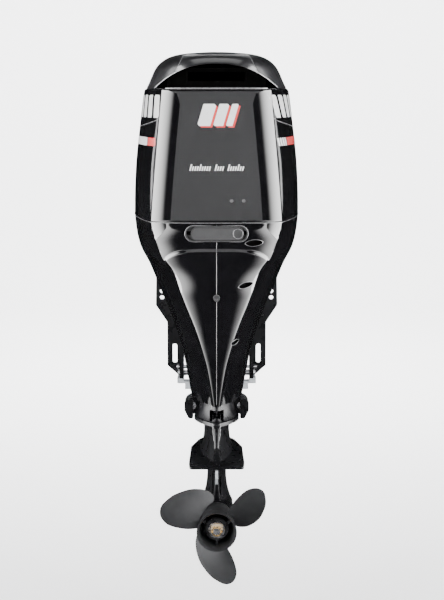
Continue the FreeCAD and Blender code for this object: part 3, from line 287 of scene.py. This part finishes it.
# z, half width, rear y, front y
LID = [(618.4, 193, -495, 191), (636, 184, -491, 184), (655, 176, -486, 172), (674, 166, -479, 150),
       (690, 150, -468, 112), (702, 128, -450, 60), (709, 98, -418, -10), (713, 50, -360, -80)]
MIDDLE_Y, APRON_Y, AXIS_Y = -190.0, -158.0, -150
ROLL_DEPTH, ROLL_REACH, ROLL_END = 24.5, 32, 24.8
COWL_POWER, LID_POWER = 0.78, 0.72
COVER_WALL, COVER_FOOT_Z, COVER_TOP_Z, BAND_Z = 3.6, -258, 272.6, 204.0
HALF_SEAM = 0.35
CREASE_Z, CREASE_DROP, CREASE_REACH = 203.0, 27.0, 143.0
PROUD, PROUD_RISE, PROUD_FADE = 4.6, 9.0, 9.0
LATCH_LENGTH, LATCH_HEIGHT, LATCH_Z = 163.6, 42.6, 244
PLUG_RADIUS, PLUG_Z = 9, 70
VENTS = [(46, 17, 4, 98, 219), (40, 14, 16, 77, 104), (22, 13, 24, 50, -62)]  # width, height, tilt, x, z
MOUTH = (166, 612, 680)  # half width, foot, apex


def level(table, z):
    """The section's sizes at a height, on a smooth curve through the table."""
    z = min(max(z, table[0][0]), table[-1][0])
    i = max(k for k in range(len(table) - 1) if table[k][0] <= z)
    low, high = table[i], table[i + 1]
    before, after = table[max(i - 1, 0)], table[min(i + 2, len(table) - 1)]
    span = high[0] - low[0]
    share = (z - low[0]) / span
    s2, s3 = share ** 2, share ** 3
    sizes = []
    for k in range(1, len(low)):
        rise_low = (high[k] - before[k]) / max(high[0] - before[0], 1) * span
        rise_high = (after[k] - low[k]) / max(after[0] - low[0], 1) * span
        sizes.append((2 * s3 - 3 * s2 + 1) * low[k] + (s3 - 2 * s2 + share) * rise_low
                     + (3 * s2 - 2 * s3) * high[k] + (s3 - s2) * rise_high)
    return sizes


def rear_point(table, s, z, grow=0.0):
    """On the rear panel: s runs from -1 at its port edge to 1 at its starboard edge."""
    _, panel, rear_y, _ = level(table, z)
    tight = min(1.0, panel / 90)
    edge = panel * (1 - abs(s)) / tight
    y = rear_y + ROLL_DEPTH * math.exp(-edge / ROLL_REACH)
    return Vector((s * panel, y - grow, z)) * MM


def side_point(table, t, z):
    """On the starboard side: t from 0 at the rear panel's edge to 1 at APRON_Y."""
    half, panel, rear_y, front_y = level(table, z)
    start_y = rear_y + ROLL_END
    y = start_y + (APRON_Y - start_y) * t
    if y <= MIDDLE_Y:
        share = (y - start_y) / (MIDDLE_Y - start_y)
        x = panel + (half - panel) * (1 - (1 - share) ** 2)
    else:
        sine = ((y - MIDDLE_Y) / (front_y - MIDDLE_Y)) ** (1 / COWL_POWER)
        x = half * math.cos(math.asin(min(1.0, sine))) ** COWL_POWER
    return Vector((x, y, z)) * MM


def front_point(table, t, z):
    """Round the front, from APRON_Y (t = 0) to the middle (t = 1)."""
    half, _, _, front_y = level(table, z)
    reach = front_y - MIDDLE_Y
    begin = math.asin(((APRON_Y - MIDDLE_Y) / reach) ** (1 / COWL_POWER))
    angle = begin + (math.pi / 2 - begin) * t
    x = half * max(math.cos(angle), 0.0) ** COWL_POWER
    return Vector((x, MIDDLE_Y + reach * math.sin(angle) ** COWL_POWER, z)) * MM


def pulled_in(ring, inset, z):
    """A closed ring with each point moved inwards, square to its neighbours."""
    centre = Vector((0, AXIS_Y * MM, z * MM))
    pulled = []
    for i, p in enumerate(ring):
        along = ring[(i + 1) % len(ring)] - ring[i - 1]
        out = Vector((along.y, -along.x, 0))
        if out.dot(p - centre) < 0:
            out.negate()
        pulled.append(p - out.normalized() * inset * MM)
    return pulled


def ring_at(table, z, inset=0.0):
    """The whole outline at one height, closed, pulled in by inset millimetres."""
    rear_count, side_count, front_count = 60, 22, 34
    even = [2 * i / rear_count - 1 for i in range(rear_count + 1)]
    ring = [rear_point(table, math.copysign(abs(s) ** 0.7, s), z) for s in even]
    starboard = [side_point(table, (i / side_count) ** 1.2, z) for i in range(side_count)]
    starboard += [front_point(table, i / front_count, z) for i in range(front_count + 1)]
    ring += starboard + [mirrored(p) for p in reversed(starboard[:-1])]
    return pulled_in(ring, inset, z) if inset else ring


def lens_points(width, height, tilt, x, z, count=24):
    """A lens outline in the plane of the back view."""
    c, s = math.cos(math.radians(tilt)), math.sin(math.radians(tilt))
    points = []
    for i in range(count):
        angle = 2 * math.pi * i / count
        a = math.cos(angle) * width / 2
        b = math.sin(angle) * height / 2 * abs(math.sin(angle)) ** 0.25
        points.append((x + a * c - b * s, z + a * s + b * c))
    return points


def stadium_points(length, height, x, z, count=14):
    """A slot outline with round ends in the plane of the back view."""
    radius, reach = height / 2, length / 2 - height / 2
    points = []
    for side, start in ((1, -90), (-1, 90)):
        for i in range(count + 1):
            angle = math.radians(start + 180 * i / count)
            points.append((x + side * reach + radius * math.cos(angle), z + radius * math.sin(angle)))
    return points


def circle_points(radius, x, z, count):
    angles = [2 * math.pi * i / count for i in range(count)]
    return [(x + radius * math.cos(a), z + radius * math.sin(a)) for a in angles]


def arch_outline(half, base, apex, count=40):
    """The mouth under the lid's rear edge, in the plane of the back view."""
    arch = [(-half, base), (half, base)]
    for i in range(count + 1):
        x = half * math.cos(math.pi * i / count)
        arch.append((x, base + 3 + (apex - base - 3) * (1 - abs(x / half) ** 2.3)))
    return arch


# ---------------------------------------------------------------- upper cowl
def upper_cowl_skin():
    """The upper cowl, from the lip inside its foot, up its wall and over its rounded top edge."""
    lip = [(279, 4.0), (275.2, 3.6), (275.0, 1.2), (276.2, 0.0)]
    wall = [(280 + 12 * i, 0.0) for i in range(28)]
    shoulder_z, shoulder_radius, top_z = 609, 8.7, 617.8
    turns = [math.pi / 2 * i / 6 for i in range(1, 6)]
    shoulder = [(shoulder_z + shoulder_radius * math.sin(a), shoulder_radius * (1 - math.cos(a)))
                for a in turns]
    rows = [ring_at(UPPER, z, inset) for z, inset in lip + wall + shoulder]
    rows.append(ring_at(UPPER, top_z, 14))
    centre = Vector((0, AXIS_Y * MM, (top_z - 0.2) * MM))
    rows.append([p.lerp(centre, 0.3) for p in rows[-1]])
    piece = skin_object("upper_cowl_skin", rows, 0, "upper_cowl", GLOSS, True, 50)
    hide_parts("upper_cowl")
    return piece


def upper_cowl_lining():
    """The dark inner wall, which shows when the cowl is lifted."""
    walls = [ring_at(UPPER, 279 + 11 * i, 4.0) for i in range(31)]
    skin_object("upper_cowl_lining", walls, 0, "upper_cowl", SATIN, True)


# ---------------------------------------------------------------- lid
def power(value, exponent):
    """value to a power, with its sign kept."""
    return math.copysign(abs(value) ** exponent, value)


def lid_ring(z, half, rear_y, front_y, count=128):
    """The lid's outline at one height."""
    ring = []
    for i in range(count):
        angle = 2 * math.pi * i / count
        c, s = math.cos(angle), math.sin(angle)
        reach = front_y - MIDDLE_Y if s > 0 else MIDDLE_Y - rear_y
        ring.append(Vector((half * power(c, LID_POWER), MIDDLE_Y + reach * power(s, LID_POWER), z)) * MM)
    return ring


def lid_skin():
    rows = []
    steps = 5
    for low, high in zip(LID, LID[1:]):
        heights = [low[0] + (high[0] - low[0]) * k / steps for k in range(steps)]
        rows += [lid_ring(z, *level(LID, z)) for z in heights]
    rows.append(lid_ring(*LID[-1]))
    crown = Vector((0, -220, 713.6)) * MM
    rows.append([p.lerp(crown, 0.7) for p in rows[-1]])
    lid = skin_object("top_cover_skin", rows, 4.5, "upper_cowl", COVER, True)
    carve(lid, [arch_outline(*MOUTH)], -620, -395, 34)
    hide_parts("top_cover")
    return lid


def tongue_rows():
    """The raised insert on the lid's rear face, narrower and flatter towards its top."""
    half_low, half_high, low, high, proud = 106, 86, 660, 703, 3.2
    row_count, column_count = 12, 40
    rows = []
    for i in range(row_count + 1):
        up = i / row_count
        z = low + (high - low) * i / row_count
        half, rear_y, _ = level(LID, z)
        row = []
        for k in range(column_count + 1):
            u = 2 * k / column_count - 1
            x = u * (half_low + (half_high - half_low) * i / row_count)
            c = min(1.0, abs(x) / half) ** (1 / LID_POWER)
            y = MIDDLE_Y - (MIDDLE_Y - rear_y) * math.sin(math.acos(c)) ** LID_POWER
            bulge = proud * (1 - abs(u) ** 8) * (1 - up ** 8)
            row.append(Vector((x, y - bulge, z + bulge * 0.4)) * MM)
        rows.append(row)
    return rows


def tongue_skin():
    """Makes the insert, and gives the run of points along its open edge."""
    rows = tongue_rows()
    insert = skin_object("top_cover_tongue", rows, 3.0, "upper_cowl", TONGUE)
    carve(insert, [arch_outline(*MOUTH)], -620, -395, 34)
    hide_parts("top_cover_insert")
    return [row[0] for row in rows] + rows[-1][1:-1] + [row[-1] for row in reversed(rows)]


# ---------------------------------------------------------------- lower covers
def crease_height(x):
    return CREASE_Z - CREASE_DROP * min(1.25, (abs(x) / CREASE_REACH) ** 4)


def cover_rear_point(s, z):
    """On the starboard half of the rear panel, which stands proud below the curved crease."""
    _, panel, _, _ = level(LOWER, z)
    crease = crease_height(s * panel)
    near = max(0.0, 1 - abs(z - CREASE_Z) / 55.0)
    lowered = z - (CREASE_Z - crease) * near ** 0.7
    share = min(1.0, max(0.0, (crease - lowered + 1.0) / PROUD_RISE))
    edge = min(1.0, panel * (1 - s) / PROUD_FADE)
    grow = PROUD * (share * share * (3 - 2 * share)) * edge ** 0.5
    return rear_point(LOWER, s, lowered, grow)


def cover_rows(side):
    """Rows of points for one cover, from its bottom up to the parting line, closest at the crease."""
    heights = [COVER_FOOT_Z + 8.0 * i for i in range(51)] + [150 + 3.0 * i for i in range(24)]
    heights += [226 + 8 * i for i in range(6)] + [COVER_TOP_Z]
    rear_count, side_count = 34, 26
    rows = []
    for z in heights:
        row = [cover_rear_point((i / rear_count) ** 0.8, z) for i in range(rear_count + 1)]
        row[0].x = HALF_SEAM * MM
        row += [side_point(LOWER, (i / side_count) ** 1.15, z) for i in range(side_count + 1)]
        rows.append(row)
    return on_side(rows, side)


def band_rows(side):
    """Rows of points for the band round the front, with a lip turned in at its foot."""
    heights = [BAND_Z, 207, 214, 224, 236, 250, 262, COVER_TOP_Z]
    rows = [[front_point(LOWER, i / 40, z) for i in range(41)] for z in heights]
    for row in rows:
        row[-1].x = HALF_SEAM * MM
    centre = Vector((0, AXIS_Y * MM, BAND_Z * MM))
    lip = [p.lerp(centre, 0.30) for p in rows[0]]
    for p in lip:
        p.x = max(p.x, HALF_SEAM * MM)
    return on_side([lip] + rows, side)


def shade_sheet_rows(side):
    """A sheet of painted shade behind the cover, seen only through its openings, which it darkens."""
    narrower, inwards = 0.93, 13 * MM
    rows = [row[:50] for row in cover_rows(side)[2::4]]
    return [[Vector((p.x * narrower, p.y + inwards, p.z)) for p in row] for row in rows]


def lower_cover(side, name):
    node = f"lower_cover_{name}"
    cover = skin_object(f"{node}_skin", cover_rows(side), COVER_WALL, "motor", GLOSS, crease=40)
    openings = [stadium_points(LATCH_LENGTH, LATCH_HEIGHT, 0, LATCH_Z),
                circle_points(PLUG_RADIUS, 0, PLUG_Z, 24)]
    if side > 0:
        openings += [lens_points(*vent) for vent in VENTS]
    carve(cover, openings, -600, -250, 40)
    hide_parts(node)
    skin_object(f"{node}_band", band_rows(side), COVER_WALL, "motor", GLOSS, crease=40)
    # A painted shade sheet behind the openings, so they read dark.
    skin_object(f"{node}_painted_shade_sheet", shade_sheet_rows(side), 0, "motor", PAINTED_SHADE)
    return cover


# ---------------------------------------------------------------- films
CELL = 0.012


def diced(mesh):
    """Cuts a flat mesh into cells small enough to follow a curved surface."""
    lows = [min(v.co[i] for v in mesh.verts) for i in range(3)]
    highs = [max(v.co[i] for v in mesh.verts) for i in range(3)]
    for axis in range(3):
        steps = int((highs[axis] - lows[axis]) / CELL)
        normal = Vector([1.0 if k == axis else 0.0 for k in range(3)])
        for i in range(1, steps + 1):
            place = normal * (lows[axis] + (highs[axis] - lows[axis]) * i / (steps + 1))
            everything = mesh.verts[:] + mesh.edges[:] + mesh.faces[:]
            bmesh.ops.bisect_plane(mesh, geom=everything, plane_co=place, plane_no=normal)


def film(name, outlines, onto, way, lift, material):
    """Thin film cut to flat (across, z) outlines and laid on the upper cowl.

    way is the direction that it is pressed in: +Y for the back of the motor, -X or +X for its sides.
    """
    mesh = bmesh.new()
    way = Vector(way)
    for outline in outlines:
        flat = [(across * MM, z * MM) for across, z in outline]
        corners = [Vector((a, 0, z)) if way.y else Vector((0, a, z)) for a, z in flat]
        mesh.faces.new([mesh.verts.new(c) for c in corners])
    diced(mesh)
    lost = []
    for vert in mesh.verts:
        hit, _, _, _ = onto.ray_cast(vert.co - way * 2.0, way)
        if hit is None:
            lost.append(vert)
        else:
            vert.co = hit - way * lift * MM
    bmesh.ops.delete(mesh, geom=lost, context="VERTS")
    data = mesh_data(name, mesh)
    for polygon in data.polygons:
        polygon.use_smooth = True
    return add_object(name, data, "upper_cowl", material)


def slanted(start, width, low, high, lean=0.3):
    """A bar that leans over, as (across, z) corners with a small chamfer."""
    rise = high - low
    cut = min(width, rise) * 0.16
    return [(start + cut, low), (start + width, low), (start + width + lean * (rise - cut), high - cut),
            (start + width - cut + lean * rise, high), (start + lean * rise, high),
            (start + lean * cut, low + cut)]


def rear_films(skin):
    """A motif of three bars with a red shade, and a row of dashes, on the rear panel."""
    inwards = (0, 1, 0)
    low, high = 521, 577
    bars = [slanted(start, width, low, high) for start, width in ((-50, 34), (-9, 26), (24, 17))]
    shade = [[(x + 5, z - 4) for x, z in bar] for bar in bars]
    film("motif_shade", shade, skin, inwards, 0.25, RED_FILM)
    film("motif", bars, skin, inwards, 0.5, WHITE_FILM)
    dash_z, pitch, width = 407, 6.2, 3.6
    dashes = []
    for start, count in ((-70, 9), (-5, 4), (28, 7)):
        for i in range(count):
            tall = 16 if i in (0, 4) else 11
            dashes.append(slanted(start + pitch * i, width, dash_z, dash_z + tall, 0.25))
    film("dash_row", dashes, skin, inwards, 0.4, WHITE_FILM)


def side_films(skin):
    """Tall bars and a white and red stripe along each side."""
    low, high, lift = 468, 489, 0.4
    for side, name in SIDES:
        inwards = (-side, 0, 0)
        lean = 0.28 if side < 0 else -0.28
        starts = range(-466 if side > 0 else -480, 60, 54)
        tall = [slanted(y, 38, 541, 600, lean) for y in starts]
        film(f"side_bars_{name}", tall, skin, inwards, lift, WHITE_FILM)
        white = [(-416, -260)] if side < 0 else [(-474 + 19 * i, -460 + 19 * i) for i in range(4)]
        strips = [slanted(a, b - a, low, high, lean) for a, b in white]
        film(f"stripe_white_{name}", strips, skin, inwards, lift, WHITE_FILM)
        aft, fore = (-482, -418) if side < 0 else (-396, -180)
        film(f"stripe_red_{name}", [slanted(aft, fore - aft, low, high, lean)], skin, inwards, lift,
             RED_FILM)


# ---------------------------------------------------------------- edge lines and rims, as beads of painted highlight
def tube(name, runs, radius, body, closed=False):
    """Round beads along runs of points, in light grey: painted highlight lines."""
    curve = bpy.data.curves.new(name, "CURVE")
    curve.dimensions = "3D"
    curve.bevel_depth = radius * MM
    curve.bevel_resolution = 2
    curve.use_fill_caps = True
    for run in runs:
        spline = curve.splines.new("POLY")
        spline.points.add(len(run) - 1)
        for point, place in zip(spline.points, run):
            point.co = (*place, 1)
        spline.use_cyclic_u = closed
    # Light grey beads paint the highlight that a lit edge catches.
    return add_object(name, curve, body, HIGHLIGHT_BEAD)


def pressed_on(skin, outline):
    """An (x, z) outline laid on a surface, pressed in along +Y."""
    laid = []
    for x, z in outline:
        hit, _, _, _ = skin.ray_cast(Vector((x * MM, -1, z * MM)), Vector((0, 1, 0)))
        if hit is not None:
            laid.append(hit)
    return laid


def latch_ring():
    """A bead of painted highlight round the boss at the handle's hinged end."""
    handle = tree_over([NODES["latch_handle"]])
    ring = circle_points(12.5, 56, LATCH_Z, 48)
    tube("latch_ring", [pressed_on(handle, ring)], 1.0, "latch", True)


def spine_edges():
    """Beads of painted highlight on the two edges of the leg's rear spine, closing in as they go down."""
    housing = tree_over([NODES["drive_shaft_housing"], NODES["gearcase"]])
    count, half, taper, top_z, fall = 30, 14.6, 6.6, -262, 91
    edges = [[(side * (half - taper * i / count), top_z - fall * i / count) for i in range(count + 1)]
             for side in (-1, 1)]
    tube("spine_edges", [pressed_on(housing, edge) for edge in edges], 0.8, "motor")


# Painted highlight beads along the lid's arch, the insert's rim, the parting line, the side shoulders and
# the panel's top edge.
def cowl_lines(lid, tongue_rim):
    arch = [(x, z + 0.8) for x, z in arch_outline(*MOUTH)[2:]]
    tube("arch_edge", [pressed_on(tree_over([lid]), arch)], 0.9, "upper_cowl")
    tube("tongue_edge", [tongue_rim], 0.7, "upper_cowl")
    tube("parting_line", [ring_at(LOWER, 272.2, -0.25)], 0.7, "motor", True)
    shoulder = [side_point(UPPER, i / 39, 541 - 34 * (i / 39) ** 0.6) for i in range(40)]
    for side, name in SIDES:
        tube(f"shoulder_line_{name}", on_side([shoulder], side), 1.1, "upper_cowl")
    above = Vector((0, 0, 3.8)) * MM
    top = [rear_point(UPPER, -0.93 + 1.86 * i / 60, 613, -1.2) + above for i in range(61)]
    tube("panel_top_edge", [top], 1.6, "upper_cowl")


def seam_run(low, high):
    """Up the middle between the covers, standing out with the panel below the crease."""
    heights = [low + (high - low) * i / 40 for i in range(41)]
    return [rear_point(LOWER, 0.0, z, PROUD if z < 196 else 0.0) for z in heights]


# Painted highlight beads round the vents and the latch recess, and up the centre seam.
def cover_lines(covers):
    skin = tree_over(covers)
    margin = 1.0
    rims = [pressed_on(skin, lens_points(width + margin, height + margin, tilt, x, z, 40))
            for width, height, tilt, x, z in VENTS]
    tube("vent_rims", [rim for rim in rims if len(rim) > 30], 0.55, "motor", True)
    recess = stadium_points(LATCH_LENGTH + margin, LATCH_HEIGHT + margin, 0, LATCH_Z, 20)
    tube("latch_rim", [pressed_on(skin, recess)], 0.7, "motor", True)
    tube("centre_seam", [seam_run(-250, 58), seam_run(82, 221)], 0.5, "motor")


# ---------------------------------------------------------------- studio and camera, in metres
FLOOR_Z, WALL_RADIUS, SWEEP_RADIUS, WALL_TOP_Z = -0.93, 7.0, 1.4, 6.0


def stage_object(name, points, faces, material):
    data = bpy.data.meshes.new(name)
    data.from_pydata(points, [], faces)
    data.materials.append(material)
    data.shade_smooth()
    piece = bpy.data.objects.new(name, data)
    bpy.context.scene.collection.objects.link(piece)
    return piece


def paper_material():
    material, tree, shader = new_material("studio_paper")
    shader.inputs["Roughness"].default_value = 0.9
    shader.inputs["Specular IOR Level"].default_value = 0.0
    tint = ramp(tree, noise(tree, 0.5, 1), (0.80, 0.80, 0.805), (0.82, 0.82, 0.825))
    tree.links.new(tint, shader.inputs["Base Color"])
    tree.links.new(tint, shader.inputs["Emission Color"])
    shader.inputs["Emission Strength"].default_value = 0.66
    return material


def cyclorama():
    """A round floor and wall of softly lit pale paper, so the object stands before it from every side."""
    floor_radius, sweep_z = WALL_RADIUS - SWEEP_RADIUS, FLOOR_Z + SWEEP_RADIUS
    profile = [(0.0, FLOOR_Z), (floor_radius, FLOOR_Z)]
    for i in range(1, 11):
        turn = math.pi / 20 * i
        profile.append((floor_radius + SWEEP_RADIUS * math.sin(turn),
                        sweep_z - SWEEP_RADIUS * math.cos(turn)))
    profile.append((WALL_RADIUS, WALL_TOP_Z))
    around = 64
    turns = [2 * math.pi * k / around for k in range(around)]
    points = [(r * math.cos(a), r * math.sin(a), z) for r, z in profile for a in turns]
    faces = []
    for low in range(0, around * (len(profile) - 1), around):
        high = low + around
        for k in range(around):
            after = (k + 1) % around
            faces.append((low + k, low + after, high + after, high + k))
    stage_object("cyclorama", points, faces, paper_material())


def card_material(name, strength, fade):
    material, tree, shader = new_material(name)
    shader.inputs["Base Color"].default_value = (0.004, 0.004, 0.004, 1)
    shader.inputs["Roughness"].default_value = 1.0
    shader.inputs["Specular IOR Level"].default_value = 0.0
    if strength:
        coords = tree.nodes.new("ShaderNodeTexCoord")
        split = tree.nodes.new("ShaderNodeSeparateXYZ")
        tree.links.new(coords.outputs["UV"], split.inputs["Vector"])
        glow = ramp(tree, split.outputs["X"], 0.0, 1.0, *fade)
        glow.node.color_ramp.interpolation = "EASE"
        tree.links.new(glow, shader.inputs["Emission Color"])
        shader.inputs["Emission Strength"].default_value = strength
    return material


def card(name, corners, strength=0.0, fade=None):
    """A card that only reflections see: black, or glowing with a soft fade across it.

    fade is the (start, end) of the glow's rise along the card, from its first edge to its far one.
    """
    piece = stage_object(name, corners, [(0, 1, 2, 3)], card_material(name, strength, fade))
    layer = piece.data.uv_layers.new(name="across")
    for loop, uv in zip(layer.data, ((0, 0), (1, 0), (1, 1), (0, 1))):
        loop.uv = uv
    piece.visible_camera = False
    piece.visible_shadow = False
    piece.visible_diffuse = False


def upright(start, end, low, high):
    """The corners of a standing sheet over the line from start to end."""
    return [(*start, low), (*end, low), (*end, high), (*start, high)]


def lying(start, end, near_z, far_z):
    """The corners of a sheet between two (x, y) corners, rising from near_z to far_z."""
    (x0, y0), (x1, y1) = start, end
    return [(x0, y0, near_z), (x1, y0, near_z), (x1, y1, far_z), (x0, y1, far_z)]


def cards():
    foot, black_top = -0.92, 2.6
    for side, name in SIDES:
        card(f"soft_card_{name}", upright((side * 1.45, -4.2), (side * 1.45, 0.15), -0.9, 1.9),
             38.0, (0.34, 0.80))
        card(f"floor_card_{name}", lying((side * 0.15, -3.0), (side * 1.44, 0.15), -0.90, -0.90),
             16.0, (0.30, 0.98))
        card(f"black_card_{name}", upright((side * 0.78, 0.25), (side * 1.12, 2.6), foot, black_top))
        card(f"black_corner_{name}", upright((side * 1.5, 0.2), (side * 0.8, 0.22), foot, black_top))
    card("black_lid", lying((-2.2, 0.2), (2.2, 2.7), 1.08, 1.32))
    card("black_cloth", lying((-2.2, -4.5), (2.2, 2.7), -0.925, -0.925))
    card("black_back", upright((-1.1, 1.5), (1.1, 1.5), foot, 1.3))


def area_light(name, place, aim, size, power_watts):
    light = bpy.data.lights.new(name, "AREA")
    light.shape = "RECTANGLE"
    light.size, light.size_y = size
    light.energy = power_watts
    lamp = bpy.data.objects.new(name, light)
    bpy.context.scene.collection.objects.link(lamp)
    lamp.location = place
    lamp.rotation_euler = (Vector(aim) - Vector(place)).to_track_quat("-Z", "Y").to_euler()


def lights():
    world = bpy.data.worlds.new("studio_air")
    world.use_nodes = True
    background = world.node_tree.nodes["Background"]
    background.inputs["Color"].default_value = (0.9, 0.92, 0.95, 1)
    background.inputs["Strength"].default_value = 0.1
    bpy.context.scene.world = world
    for side, name in SIDES:
        area_light(f"key_{name}", (side * 2.3, -1.7, 0.75), (0, -0.3, 0.2), (0.55, 2.0), 60)
    area_light("top_box", (0, -0.6, 2.9), (0, -0.2, 0), (2.2, 1.4), 60)
    area_light("paper_glow", (0, 2.2, 3.4), (0, 6.6, -0.2), (1.6, 0.8), 1100)


def camera():
    data = bpy.data.cameras.new("photo_camera")
    data.lens = 80.8
    data.sensor_width = 36
    cam = bpy.data.objects.new("photo_camera", data)
    bpy.context.scene.collection.objects.link(cam)
    look_down, turn = 8.66, -0.234
    cam.location = (0.0, -4.0, 0.6)
    cam.rotation_euler = (math.radians(90 - look_down), 0, math.radians(turn))
    bpy.context.scene.camera = cam


# ---------------------------------------------------------------- the whole scene
def dress_motor():
    """Adds everything that rides on the CAD bodies."""
    upper_skin = upper_cowl_skin()
    upper_cowl_lining()
    lid = lid_skin()
    tongue_rim = tongue_skin()
    covers = [lower_cover(side, name) for side, name in SIDES]
    upper_tree = tree_over([upper_skin])
    rear_films(upper_tree)
    side_films(upper_tree)
    latch_ring()
    spine_edges()
    cowl_lines(lid, tongue_rim)
    cover_lines(covers)


dress_frame()
dress_motor()
cyclorama()
cards()
lights()
camera()
